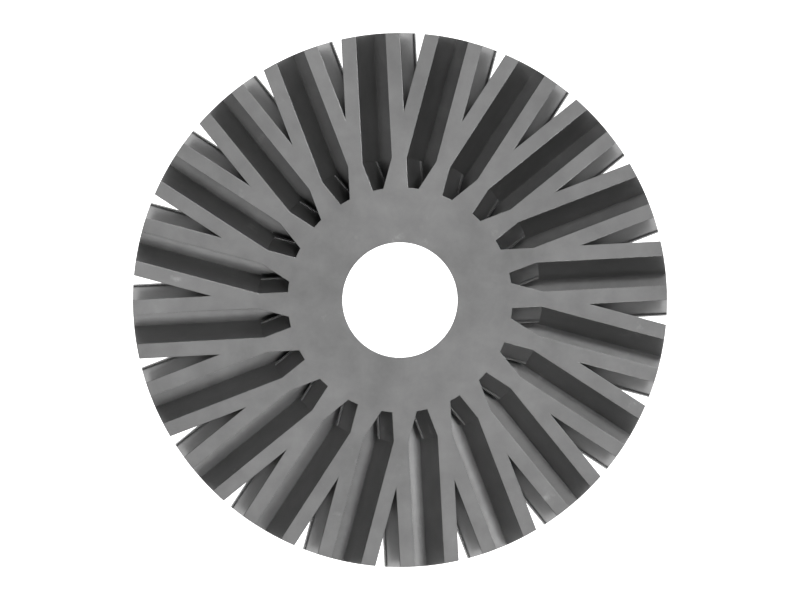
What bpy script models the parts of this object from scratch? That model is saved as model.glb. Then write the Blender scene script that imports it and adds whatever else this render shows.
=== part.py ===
"""Pump impeller: a bored hub disc that carries twenty leaning channel vanes.

The rear face of the hub lies at z = 0 and the flat front face looks along +Z.
Each channel is open at the front and at the rim. Its two walls and its floor
lean together about the channel's own long axis, and one flat plane trims all
the front edges. The right wall of each channel crosses the left wall of the
next one, which gives every vane its fork.
"""
import math

import bmesh
import bpy
from mathutils import Matrix, Vector

# Driving dimensions, in metres and degrees
OUTER_DIAMETER = 0.232
HUB_DIAMETER = 0.0978
BORE_DIAMETER = 0.050
THICKNESS = 0.025
VANE_COUNT = 20
FIRST_CHANNEL_ANGLE = 93.0
LEAN = math.radians(20.0)
WALL_THICKNESS = 0.0061
CHANNEL_WIDTH = 0.0119
CHANNEL_OFFSET = 0.0068
CHANNEL_DEPTH = 0.0210
FLOOR_THICKNESS = 0.0016
FLOOR_LIP = 0.0010
PIECE_GAP = 0.0003

# How far out, along a channel, the neighbouring vane's foot still stands in it
CROSSING_END = 0.0606

# Sizes that follow from them
OUTER_RADIUS = OUTER_DIAMETER / 2
HUB_RADIUS = HUB_DIAMETER / 2
BORE_RADIUS = BORE_DIAMETER / 2
PITCH = 2 * math.pi / VANE_COUNT
MOUTH_WIDTH = CHANNEL_WIDTH / math.cos(LEAN)
WALL_TOP = CHANNEL_DEPTH / math.cos(LEAN) + 2 * WALL_THICKNESS * math.tan(LEAN)

# Facets round a full turn, a multiple of the vane count so that every vane is alike
ROUND_FACETS = 360
BORE_FACETS = 120
SMOOTH_ANGLE = math.radians(30.0)
CUTTER_MARGIN = 0.005
WELD_DISTANCE = 0.00001

COLLECTION_NAME = "pump_impeller"
CUTTER_COLLECTION_NAME = "cutters"


def clear_scene():
    """Remove the objects of the start-up scene."""
    for old in list(bpy.data.objects):
        bpy.data.objects.remove(old, do_unlink=True)


def new_collection(name):
    """Add an empty collection to the scene."""
    collection = bpy.data.collections.new(name)
    bpy.context.scene.collection.children.link(collection)
    return collection


def cast_metal(name, colour):
    """A plain grey metal for one sub-part."""
    material = bpy.data.materials.new(name)
    material.use_nodes = True
    shader = material.node_tree.nodes["Principled BSDF"]
    shader.inputs["Base Color"].default_value = (*colour, 1.0)
    shader.inputs["Metallic"].default_value = 0.8
    shader.inputs["Roughness"].default_value = 0.5
    return material


def place_in(collection, thing, name):
    """Name an object and move it to the given collection."""
    thing.name = name
    thing.data.name = name
    for home in list(thing.users_collection):
        home.objects.unlink(thing)
    collection.objects.link(thing)
    return thing


def cylinder(collection, name, radius, low, high, facets):
    """An upright cylinder on the impeller's axis, from height low to height high."""
    bpy.ops.mesh.primitive_cylinder_add(
        vertices=facets,
        radius=radius,
        depth=high - low,
        location=(0.0, 0.0, (low + high) / 2),
    )
    return place_in(collection, bpy.context.object, name)


def section_frame(steps):
    """The leaning frame of a channel, counted in pitches anticlockwise from the first.

    Its origin is the foot of the channel's left wall, on the floor. X runs across
    the floor to the right wall, Y outwards, and Z up along the walls.
    """
    foot_x = -CHANNEL_OFFSET - MOUTH_WIDTH / 2 + CHANNEL_DEPTH * math.tan(LEAN)
    foot = Matrix.Translation(Vector((foot_x, 0.0, THICKNESS - CHANNEL_DEPTH)))
    turn = Matrix.Rotation(steps * PITCH, 4, "Z")
    return turn @ foot @ Matrix.Rotation(-LEAN, 4, "Y")


def section(collection, name, frame, outline, inner=HUB_RADIUS / 2):
    """A straight bar with the given outline across it, from inside the hub to past the rim."""
    outer = OUTER_RADIUS + CUTTER_MARGIN
    flat = bpy.data.curves.new(name, "CURVE")
    flat.dimensions = "2D"
    flat.fill_mode = "BOTH"
    flat.extrude = (outer - inner) / 2
    spline = flat.splines.new("POLY")
    spline.points.add(len(outline) - 1)
    for point, (across, up) in zip(spline.points, outline):
        point.co = (across, up, 0.0, 1.0)
    spline.use_cyclic_u = True
    drawn = bpy.data.objects.new(name, flat)
    collection.objects.link(drawn)
    bpy.context.view_layer.update()
    mesh = bpy.data.meshes.new_from_object(drawn.evaluated_get(bpy.context.evaluated_depsgraph_get()))
    bpy.data.objects.remove(drawn, do_unlink=True)
    weld(mesh)
    upright = Matrix.Rotation(math.radians(90.0), 4, "X")
    mesh.transform(frame @ Matrix.Translation((0.0, (inner + outer) / 2, 0.0)) @ upright)
    piece = bpy.data.objects.new(name, mesh)
    collection.objects.link(piece)
    return piece


def weld(mesh):
    """Join the loose caps of a mesh that was a curve."""
    shape = bmesh.new()
    shape.from_mesh(mesh)
    bmesh.ops.remove_doubles(shape, verts=shape.verts, dist=WELD_DISTANCE)
    bmesh.ops.recalc_face_normals(shape, faces=shape.faces)
    shape.to_mesh(mesh)
    shape.free()


def combine(target, tool, operation):
    """Apply one exact Boolean, and drop the tool's object."""
    modifier = target.modifiers.new(operation.lower(), "BOOLEAN")
    modifier.operation = operation
    modifier.solver = "EXACT"
    modifier.object = tool
    bpy.context.view_layer.objects.active = target
    bpy.ops.object.modifier_apply(modifier=modifier.name)
    bpy.data.objects.remove(tool, do_unlink=True)


def cutter(collection, name, radius, low, high, facets):
    """A cylinder that cuts other pieces and isn't part of the impeller."""
    tool = cylinder(collection, name, radius, low, high, facets)
    tool.hide_render = True
    tool.display_type = "WIRE"
    return tool


def make_hub(parts, cutters):
    """The hub disc with its plain round bore."""
    hub = cylinder(parts, "hub", HUB_RADIUS, 0.0, THICKNESS, ROUND_FACETS // 2)
    bore = cutter(cutters, "bore_cutter", BORE_RADIUS, -CUTTER_MARGIN, THICKNESS + CUTTER_MARGIN,
                  BORE_FACETS)
    combine(hub, bore, "DIFFERENCE")
    return hub


def make_vane_mesh(parts, cutters):
    """One forked vane: a channel's floor and right wall, and the next channel's left wall."""
    right_side = CHANNEL_WIDTH + WALL_THICKNESS
    floor_and_right_wall = [
        (PIECE_GAP, -FLOOR_THICKNESS),
        (right_side + FLOOR_LIP, -FLOOR_THICKNESS),
        (right_side + FLOOR_LIP, 0.0),
        (right_side, 0.0),
        (right_side, WALL_TOP),
        (CHANNEL_WIDTH, WALL_TOP),
        (CHANNEL_WIDTH, 0.0),
        (PIECE_GAP, 0.0),
    ]
    left_wall = [
        (-WALL_THICKNESS - FLOOR_LIP, -FLOOR_THICKNESS),
        (0.0, -FLOOR_THICKNESS),
        (0.0, WALL_TOP),
        (-WALL_THICKNESS, WALL_TOP),
        (-WALL_THICKNESS, 0.0),
        (-WALL_THICKNESS - FLOOR_LIP, 0.0),
    ]
    open_channel = [
        (0.0, 0.0),
        (CHANNEL_WIDTH, 0.0),
        (CHANNEL_WIDTH, WALL_TOP),
        (0.0, WALL_TOP),
    ]
    here = section_frame(0)
    beyond = section_frame(-1)
    vane = section(parts, "vane", here, floor_and_right_wall)
    combine(vane, section(cutters, "next_channel", beyond, open_channel, CROSSING_END), "DIFFERENCE")
    combine(vane, section(cutters, "next_wall", beyond, left_wall), "UNION")
    rim = cutter(cutters, "rim_cutter", OUTER_RADIUS, -CUTTER_MARGIN, THICKNESS, ROUND_FACETS)
    combine(vane, rim, "INTERSECT")
    seat = cutter(cutters, "seat_cutter", HUB_RADIUS + PIECE_GAP, -2 * CUTTER_MARGIN,
                  THICKNESS + CUTTER_MARGIN, ROUND_FACETS // 2)
    combine(vane, seat, "DIFFERENCE")
    return vane


def shade(piece):
    """Smooth round sides and keep sharp edges."""
    piece.data.shade_smooth()
    piece.data.set_sharp_from_angle(angle=SMOOTH_ANGLE)


def main():
    clear_scene()
    parts = new_collection(COLLECTION_NAME)
    cutters = new_collection(CUTTER_COLLECTION_NAME)

    hub = make_hub(parts, cutters)
    hub.data.materials.append(cast_metal("hub_metal", (0.23, 0.23, 0.23)))
    shade(hub)

    first = make_vane_mesh(parts, cutters)
    shade(first)
    start = math.radians(FIRST_CHANNEL_ANGLE - 90.0)
    for number in range(VANE_COUNT):
        mesh = first.data.copy()
        mesh.name = f"vane_{number + 1:02d}"
        mesh.materials.append(cast_metal(f"{mesh.name}_metal", (0.24, 0.24, 0.24)))
        vane = bpy.data.objects.new(mesh.name, mesh)
        vane.rotation_euler.z = start + number * PITCH
        parts.objects.link(vane)
    bpy.data.objects.remove(first, do_unlink=True)


main()
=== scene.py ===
"""Looks of the pump impeller: one grey metal casting under a soft studio light, seen along its bore.

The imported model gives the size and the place. The casting is modelled once as a
single fused body, since the real one shows no seams, and stands for every node.
"""
import math

import bmesh
import bpy
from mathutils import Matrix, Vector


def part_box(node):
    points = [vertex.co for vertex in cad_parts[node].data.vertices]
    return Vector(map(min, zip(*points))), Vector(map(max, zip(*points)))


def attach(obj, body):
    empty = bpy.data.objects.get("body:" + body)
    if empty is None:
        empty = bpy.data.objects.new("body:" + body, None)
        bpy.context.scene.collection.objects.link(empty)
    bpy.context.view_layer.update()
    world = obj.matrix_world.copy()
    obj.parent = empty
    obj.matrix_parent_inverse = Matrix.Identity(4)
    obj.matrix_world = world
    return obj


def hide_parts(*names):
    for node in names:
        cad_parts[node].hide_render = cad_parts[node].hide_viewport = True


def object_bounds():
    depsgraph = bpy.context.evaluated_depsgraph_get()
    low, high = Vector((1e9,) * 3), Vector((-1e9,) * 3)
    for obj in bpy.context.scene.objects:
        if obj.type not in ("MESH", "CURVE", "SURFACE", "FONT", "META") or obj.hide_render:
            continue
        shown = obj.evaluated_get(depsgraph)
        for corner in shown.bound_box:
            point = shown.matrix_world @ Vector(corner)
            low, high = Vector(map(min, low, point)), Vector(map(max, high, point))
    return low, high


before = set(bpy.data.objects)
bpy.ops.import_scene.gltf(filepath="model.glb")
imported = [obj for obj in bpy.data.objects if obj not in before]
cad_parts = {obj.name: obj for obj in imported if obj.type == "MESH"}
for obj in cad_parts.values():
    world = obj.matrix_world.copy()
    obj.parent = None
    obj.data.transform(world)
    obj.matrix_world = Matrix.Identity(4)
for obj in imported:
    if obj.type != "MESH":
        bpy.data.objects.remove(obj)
cad_low, cad_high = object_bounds()

# Sizes of the casting, in metres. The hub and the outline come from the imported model
MM = 0.001
VANE_COUNT = 20
PITCH = 2 * math.pi / VANE_COUNT
OUTER_RADIUS = cad_high.x
THICKNESS = cad_high.z
HUB_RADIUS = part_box("hub")[1].x
BORE_RADIUS = 25.0 * MM
FIRST_CHANNEL_TURN = math.radians(3.0)
LEAN = math.radians(20.0)
CHANNEL_WIDTH = 11.9 * MM
CHANNEL_DEPTH = 21.0 * MM
CHANNEL_OFFSET = 6.8 * MM
WALL_THICKNESS = 6.1 * MM
FLOOR_THICKNESS = 1.6 * MM
FLOOR_LIP = 1.0 * MM

# How much thicker the right walls are at the foot
DRAFT = 0.5 * MM

# How far out, along a channel, the neighbouring vane's foot still stands in it
CROSSING_END = 60.6 * MM

# How far bars and cutters reach past the finished surfaces
MARGIN = 4.0 * MM

# Edges and facets
EDGE_BREAK = 0.2 * MM
BREAK_STEPS = 2
RIM_FACETS = 720
HUB_FACETS = 360

# What counts as the same place, as straight along an axis, as a sharp edge, as a crumb and as flat
SAME_PLACE = 0.01 * MM
ALIGNED = 0.99
SHARP_ANGLE = math.radians(30.0)
CRUMB = 0.03 * MM
FLAT_ANGLE = math.radians(0.05)

# The metal. The grain of 0.1 mm glass beads is drawn ten times as coarse, so that it shows
METALLIC = 0.87
ROUGHNESS = 0.3
PATCH_SIZE = 40.0 * MM
CLOUD_SIZE = 12.0 * MM
STAIN_SIZE = 14.0 * MM
STAIN_PLACE = 3.0
GRAIN_SIZE = 1.0 * MM
GRAIN_DEPTH = 0.02 * MM
IRON_DARK = "#606060"
IRON_LIGHT = "#707070"
IRON_STAIN = "#8A8A8A"

# The studio. A lamp is (turn from +X, angle from overhead, width in degrees, power)
TABLE_SIZE = 6.0
TABLE_GREY = "#606060"
TABLE_WHITE = "#FFFFFF"
TABLE_GLOW = 1.7
DOME_TOP = 0.15
DOME_FOOT = 1.5
LAMPS = {
    "overhead": (0.0, 0.0, 60.0, 0.18),
    "key": (11.0, 24.0, 12.0, 2.2),
    "front": (262.0, 24.0, 14.0, 1.4),
    "right": (312.0, 29.0, 14.0, 0.65),
    "back": (77.0, 26.0, 6.0, 0.7),
    "window": (60.0, 72.0, 70.0, 3.0),
}

# The camera. Both widths are in the photo's pixels
PHOTO_WIDTH = 800
IMPELLER_WIDTH_IN_PHOTO = 534.46
CAMERA_HEIGHT = 1.0


def deselect():
    """Leave nothing selected, so that the next operator acts only on what it is given."""
    bpy.ops.object.select_all(action="DESELECT")


def activate(piece):
    """Select one piece and make it the active one."""
    deselect()
    piece.select_set(True)
    bpy.context.view_layer.objects.active = piece


def add_block(name, low, high):
    """A cube stretched between two corners, with its scale applied."""
    deselect()
    middle = [(a + b) / 2 for a, b in zip(low, high)]
    size = [b - a for a, b in zip(low, high)]
    bpy.ops.mesh.primitive_cube_add(size=1.0, location=middle, scale=size)
    block = bpy.context.object
    block.name = name
    bpy.ops.object.transform_apply(location=True, rotation=True, scale=True)
    return block


def add_disc(name, radius, low, high, facets):
    """A round block on the bore axis."""
    deselect()
    bpy.ops.mesh.primitive_cylinder_add(
        vertices=facets, radius=radius, depth=high - low, location=(0.0, 0.0, (low + high) / 2)
    )
    disc = bpy.context.object
    disc.name = name
    bpy.ops.object.transform_apply(location=True, rotation=True, scale=True)
    return disc


def score_across(piece, places):
    """Bisect a block with upright planes at the given places along X."""
    activate(piece)
    bpy.ops.object.mode_set(mode="EDIT")
    for x in places:
        bpy.ops.mesh.select_all(action="SELECT")
        bpy.ops.mesh.bisect(plane_co=(x, 0.0, 0.0), plane_no=(1.0, 0.0, 0.0))
    bpy.ops.object.mode_set(mode="OBJECT")


def raise_faces(piece, spans, height):
    """Extrude upwards the top faces that lie within the given spans of X."""
    activate(piece)
    bpy.ops.object.mode_set(mode="EDIT")
    bpy.ops.mesh.select_all(action="DESELECT")
    bpy.ops.mesh.select_mode(type="FACE")
    bpy.ops.object.mode_set(mode="OBJECT")
    for face in piece.data.polygons:
        inside = any(low < face.center.x < high for low, high in spans)
        face.select = inside and face.normal.z > ALIGNED
    bpy.ops.object.mode_set(mode="EDIT")
    bpy.ops.mesh.extrude_region_move(TRANSFORM_OT_translate={"value": (0.0, 0.0, height)})
    bpy.ops.object.mode_set(mode="OBJECT")


def slide_long_edge(piece, across, up, by):
    """Slide sideways the long edge that lies at the given place across and up the bar."""
    activate(piece)
    bpy.ops.object.mode_set(mode="EDIT")
    bpy.ops.mesh.select_mode(type="VERT")
    bpy.ops.mesh.select_all(action="DESELECT")
    shape = bmesh.from_edit_mesh(piece.data)
    for corner in shape.verts:
        level = abs(corner.co.z - up) < SAME_PLACE
        corner.select_set(level and abs(corner.co.x - across) < SAME_PLACE)
    bmesh.update_edit_mesh(piece.data)
    bpy.ops.transform.translate(value=(by, 0.0, 0.0))
    bpy.ops.object.mode_set(mode="OBJECT")


def draft_right_wall(trough, right, wall_height):
    """Turn the right wall's outer face about its front edge, so that the wall is thicker at its foot."""
    front = (CHANNEL_DEPTH - right * math.sin(LEAN)) / math.cos(LEAN)
    slide_long_edge(trough, right, 0.0, DRAFT)
    slide_long_edge(trough, right, wall_height, DRAFT * (front - wall_height) / front)


def turn(piece, angle, axis):
    """Turn a piece about the origin and apply it to its mesh."""
    activate(piece)
    if axis == "Y":
        piece.rotation_euler.y = angle
    else:
        piece.rotation_euler.z = angle
    bpy.ops.object.transform_apply(location=False, rotation=True, scale=False)


def shift(piece, by):
    """Move a piece and apply it to its mesh."""
    activate(piece)
    bpy.ops.transform.translate(value=by)
    bpy.ops.object.transform_apply(location=True, rotation=False, scale=False)


def copy_of(piece, name):
    """A copy with its own mesh."""
    activate(piece)
    bpy.ops.object.duplicate(linked=False)
    twin = bpy.context.object
    twin.name = name
    return twin


def combine(target, tool, operation):
    """Apply one exact Boolean and delete the tool."""
    activate(target)
    cut = target.modifiers.new(operation.lower(), "BOOLEAN")
    cut.operation = operation
    cut.solver = "EXACT"
    cut.object = tool
    bpy.ops.object.modifier_apply(modifier=cut.name)
    activate(tool)
    bpy.ops.object.delete()


def bevel_edges(piece, wanted, width, steps):
    """Round the edges for which wanted(edge) holds, given as bmesh edges."""
    activate(piece)
    bpy.ops.object.mode_set(mode="EDIT")
    bpy.ops.mesh.select_mode(type="EDGE")
    bpy.ops.mesh.select_all(action="DESELECT")
    shape = bmesh.from_edit_mesh(piece.data)
    for edge in shape.edges:
        edge.select_set(wanted(edge))
    bmesh.update_edit_mesh(piece.data)
    bpy.ops.mesh.bevel(offset=width, segments=steps, affect="EDGES", clamp_overlap=False)
    bpy.ops.object.mode_set(mode="OBJECT")


def runs_lengthwise(edge):
    """True for a sharp edge that runs along the bar."""
    along = edge.verts[1].co - edge.verts[0].co
    return abs(along.y) > ALIGNED * along.length and edge.calc_face_angle(0.0) > SHARP_ANGLE


def is_under_edge(edge):
    """True for the two long edges of the floor's underside, before the bar leans."""
    return runs_lengthwise(edge) and abs(edge.verts[0].co.z + FLOOR_THICKNESS) < SAME_PLACE


def is_front_edge(edge):
    """True for the long edges of the trimmed walls, once the bar leans in its place."""
    return runs_lengthwise(edge) and abs(edge.verts[0].co.z - THICKNESS) < SAME_PLACE


def is_round_edge(edge):
    """True for the edges where a disc's flat ends meet its round side."""
    level = abs(edge.verts[0].co.z - edge.verts[1].co.z) < SAME_PLACE
    return level and edge.calc_face_angle(0.0) > SHARP_ANGLE


def trim_top(piece):
    """Cut a leaning bar off at the front face, and press the cut's corners exactly level."""
    activate(piece)
    bpy.ops.object.mode_set(mode="EDIT")
    bpy.ops.mesh.select_all(action="SELECT")
    bpy.ops.mesh.bisect(
        plane_co=(0.0, 0.0, THICKNESS), plane_no=(0.0, 0.0, 1.0), use_fill=True, clear_outer=True
    )
    bpy.ops.mesh.select_mode(type="VERT")
    bpy.ops.mesh.select_all(action="DESELECT")
    shape = bmesh.from_edit_mesh(piece.data)
    for corner in shape.verts:
        corner.select_set(corner.co.z > THICKNESS - SAME_PLACE)
    bmesh.update_edit_mesh(piece.data)
    bpy.ops.transform.resize(value=(1.0, 1.0, 0.0), center_override=(0.0, 0.0, THICKNESS))
    bpy.ops.object.mode_set(mode="OBJECT")


def lean_into_place(piece):
    """Lean a bar about its left foot and seat it at the channel's depth."""
    mouth = CHANNEL_WIDTH / math.cos(LEAN)
    foot_x = -CHANNEL_OFFSET - mouth / 2 + CHANNEL_DEPTH * math.tan(LEAN)
    turn(piece, -LEAN, "Y")
    shift(piece, (foot_x, 0.0, THICKNESS - CHANNEL_DEPTH))


def make_trough():
    """One channel as a straight bar: its floor with a lip each side, and its two walls."""
    wall_height = CHANNEL_DEPTH / math.cos(LEAN) + 2 * WALL_THICKNESS * math.tan(LEAN)
    left = -WALL_THICKNESS
    right = CHANNEL_WIDTH + WALL_THICKNESS
    inner_end = (BORE_RADIUS + HUB_RADIUS) / 2
    outer_end = OUTER_RADIUS + MARGIN
    trough = add_block(
        "trough",
        (left - FLOOR_LIP, inner_end, -FLOOR_THICKNESS),
        (right + FLOOR_LIP, outer_end, 0.0),
    )
    score_across(trough, (left, 0.0, CHANNEL_WIDTH, right))
    raise_faces(trough, ((left, 0.0), (CHANNEL_WIDTH, right)), wall_height)
    draft_right_wall(trough, right, wall_height)
    bevel_edges(trough, is_under_edge, EDGE_BREAK, BREAK_STEPS)
    lean_into_place(trough)
    trim_top(trough)
    bevel_edges(trough, is_front_edge, EDGE_BREAK, BREAK_STEPS)

    room = add_block("next_room", (0.0, CROSSING_END, 0.0), (CHANNEL_WIDTH, outer_end, wall_height))
    lean_into_place(room)
    turn(room, -PITCH, "Z")
    combine(trough, room, "DIFFERENCE")
    turn(trough, FIRST_CHANNEL_TURN, "Z")
    return trough


def clean_up(piece):
    """Merge the crumbs that the Booleans leave. The round sides are fine enough to be shaded flat."""
    activate(piece)
    bpy.ops.object.mode_set(mode="EDIT")
    bpy.ops.mesh.select_mode(type="FACE")
    bpy.ops.mesh.select_all(action="SELECT")
    bpy.ops.mesh.remove_doubles(threshold=CRUMB)
    bpy.ops.mesh.dissolve_limited(angle_limit=FLAT_ANGLE)
    bpy.ops.mesh.faces_shade_flat()
    bpy.ops.object.mode_set(mode="OBJECT")


def make_casting():
    """The bored hub and twenty troughs, fused into one body and turned to size at the rim."""
    casting = add_disc("impeller_casting", HUB_RADIUS, 0.0, THICKNESS, HUB_FACETS)
    bore = add_disc("bore", BORE_RADIUS, -MARGIN, THICKNESS + MARGIN, HUB_FACETS)
    combine(casting, bore, "DIFFERENCE")
    bevel_edges(casting, is_round_edge, EDGE_BREAK, BREAK_STEPS)
    trough = make_trough()
    for number in range(VANE_COUNT):
        bar = copy_of(trough, f"trough_{number:02d}")
        turn(bar, number * PITCH, "Z")
        combine(casting, bar, "UNION")
    activate(trough)
    bpy.ops.object.delete()
    rim = add_disc("rim", OUTER_RADIUS, -MARGIN, THICKNESS, RIM_FACETS)
    bevel_edges(rim, is_round_edge, EDGE_BREAK, BREAK_STEPS)
    combine(casting, rim, "INTERSECT")
    clean_up(casting)
    return casting


def linear(code):
    """An sRGB hex colour as linear values."""
    parts = [int(code[i:i + 2], 16) / 255 for i in (1, 3, 5)]
    bent = [p / 12.92 if p <= 0.04045 else ((p + 0.055) / 1.055) ** 2.4 for p in parts]
    return (*bent, 1.0)


def add_node(tree, kind, settings=None, inputs=None):
    """Add a node, set its properties, and set or link its inputs."""
    node = tree.nodes.new(kind)
    for key, value in (settings or {}).items():
        setattr(node, key, value)
    for key, value in (inputs or {}).items():
        if isinstance(value, bpy.types.NodeSocket):
            tree.links.new(value, node.inputs[key])
        else:
            node.inputs[key].default_value = value
    return node


def new_material(name):
    """An empty node material with its output."""
    material = bpy.data.materials.new(name)
    material.use_nodes = True
    tree = material.node_tree
    tree.nodes.clear()
    return material, tree


def make_blasted_iron():
    """Grey cast iron, bead blasted all over and left to dull.

    The blasting gives a fine even matt grain, so a lamp shows as a wide soft glow
    and never as a mirror image. The dull skin takes a little off the metal's shine.
    It is cloudy: wide patches, smaller clouds in them, and here and there a small
    pale stain.
    """
    material, tree = new_material("bead_blasted_iron")
    place = add_node(tree, "ShaderNodeTexCoord").outputs["Object"]
    patches = add_node(tree, "ShaderNodeTexNoise", inputs={
        "Vector": place, "Scale": 1 / PATCH_SIZE, "Detail": 3.0, "Roughness": 0.5,
    }).outputs["Fac"]
    clouds = add_node(tree, "ShaderNodeTexNoise", inputs={
        "Vector": place, "Scale": 1 / CLOUD_SIZE, "Detail": 8.0, "Roughness": 0.65,
        "Distortion": 0.15,
    }).outputs["Fac"]
    dullness = add_node(tree, "ShaderNodeMix", inputs={
        "Factor": 0.45, "A": clouds, "B": patches,
    }).outputs["Result"]
    stains = add_node(tree, "ShaderNodeTexNoise", {"noise_dimensions": "4D"}, {
        "Vector": place, "W": STAIN_PLACE, "Scale": 1 / STAIN_SIZE, "Detail": 5.0, "Roughness": 0.7,
    }).outputs["Fac"]
    pale = add_node(tree, "ShaderNodeMapRange", inputs={
        "Value": stains, "From Min": 0.63, "From Max": 0.75, "To Min": 0.0, "To Max": 0.4,
    }).outputs["Result"]
    level = add_node(tree, "ShaderNodeMath", {"operation": "ADD"}, {0: dullness, 1: pale})
    tone = add_node(tree, "ShaderNodeValToRGB", inputs={"Fac": level.outputs["Value"]})
    ramp = tone.color_ramp.elements
    ramp[0].position, ramp[0].color = 0.35, linear(IRON_DARK)
    ramp[1].position, ramp[1].color = 0.65, linear(IRON_LIGHT)
    stain = ramp.new(1.0)
    stain.color = linear(IRON_STAIN)
    grain = add_node(tree, "ShaderNodeTexNoise", inputs={
        "Vector": place, "Scale": 1 / GRAIN_SIZE, "Detail": 2.0,
    }).outputs["Fac"]
    pits = add_node(tree, "ShaderNodeBump", inputs={
        "Height": grain, "Strength": 0.3, "Distance": GRAIN_DEPTH,
    }).outputs["Normal"]
    shader = add_node(tree, "ShaderNodeBsdfPrincipled", inputs={
        "Base Color": tone.outputs["Color"], "Metallic": METALLIC, "Roughness": ROUGHNESS,
        "Normal": pits,
    })
    add_node(tree, "ShaderNodeOutputMaterial", inputs={"Surface": shader.outputs["BSDF"]})
    return material


def make_floor():
    """A light table with an opal acrylic top, which glows evenly from within.

    The glow is white and hides the part's shadow. The acrylic itself is grey, so the
    lamps add little to it, and the metal mirrors an even light.
    """
    deselect()
    bpy.ops.mesh.primitive_plane_add(size=TABLE_SIZE, location=(0.0, 0.0, 0.0))
    floor = bpy.context.object
    floor.name = "floor"
    material, tree = new_material("opal_acrylic")
    shader = add_node(tree, "ShaderNodeBsdfPrincipled", inputs={
        "Base Color": linear(TABLE_GREY), "Roughness": 0.9,
        "Emission Color": linear(TABLE_WHITE), "Emission Strength": TABLE_GLOW,
    })
    add_node(tree, "ShaderNodeOutputMaterial", inputs={"Surface": shader.outputs["BSDF"]})
    floor.data.materials.append(material)


def add_lamp(name, around, down, width, strength):
    """A round soft lamp far away: its turn from +X, its angle from overhead, its width, its power."""
    lamp = bpy.data.lights.new(name, "SUN")
    lamp.angle = math.radians(width)
    lamp.energy = strength
    holder = bpy.data.objects.new(name, lamp)
    holder.rotation_euler = (0.0, math.radians(down), math.radians(around))
    bpy.context.scene.collection.objects.link(holder)


def make_light():
    """A dim dome that brightens towards its foot, and soft lamps overhead and round about."""
    world = bpy.data.worlds.new("studio")
    bpy.context.scene.world = world
    world.use_nodes = True
    tree = world.node_tree
    tree.nodes.clear()
    direction = add_node(tree, "ShaderNodeTexCoord").outputs["Generated"]
    height = add_node(tree, "ShaderNodeSeparateXYZ", inputs={"Vector": direction}).outputs["Z"]
    glow = add_node(tree, "ShaderNodeMapRange", inputs={
        "Value": height, "From Min": 0.0, "From Max": 0.7, "To Min": DOME_FOOT, "To Max": DOME_TOP,
    }).outputs["Result"]
    dome = add_node(tree, "ShaderNodeBackground", inputs={"Strength": glow})
    add_node(tree, "ShaderNodeOutputWorld", inputs={"Surface": dome.outputs["Background"]})
    for name, lamp in LAMPS.items():
        add_lamp(name, *lamp)


def make_camera():
    """Looks straight down the bore, with no perspective."""
    data = bpy.data.cameras.new("camera")
    data.type = "ORTHO"
    data.ortho_scale = 2 * OUTER_RADIUS * PHOTO_WIDTH / IMPELLER_WIDTH_IN_PHOTO
    camera = bpy.data.objects.new("camera", data)
    camera.location = (0.0, 0.0, CAMERA_HEIGHT)
    bpy.context.scene.collection.objects.link(camera)
    bpy.context.scene.camera = camera


casting = make_casting()
casting.data.materials.append(make_blasted_iron())
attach(casting, "root")
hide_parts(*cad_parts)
make_floor()
make_light()
make_camera()
bpy.context.scene.view_settings.view_transform = "Standard"
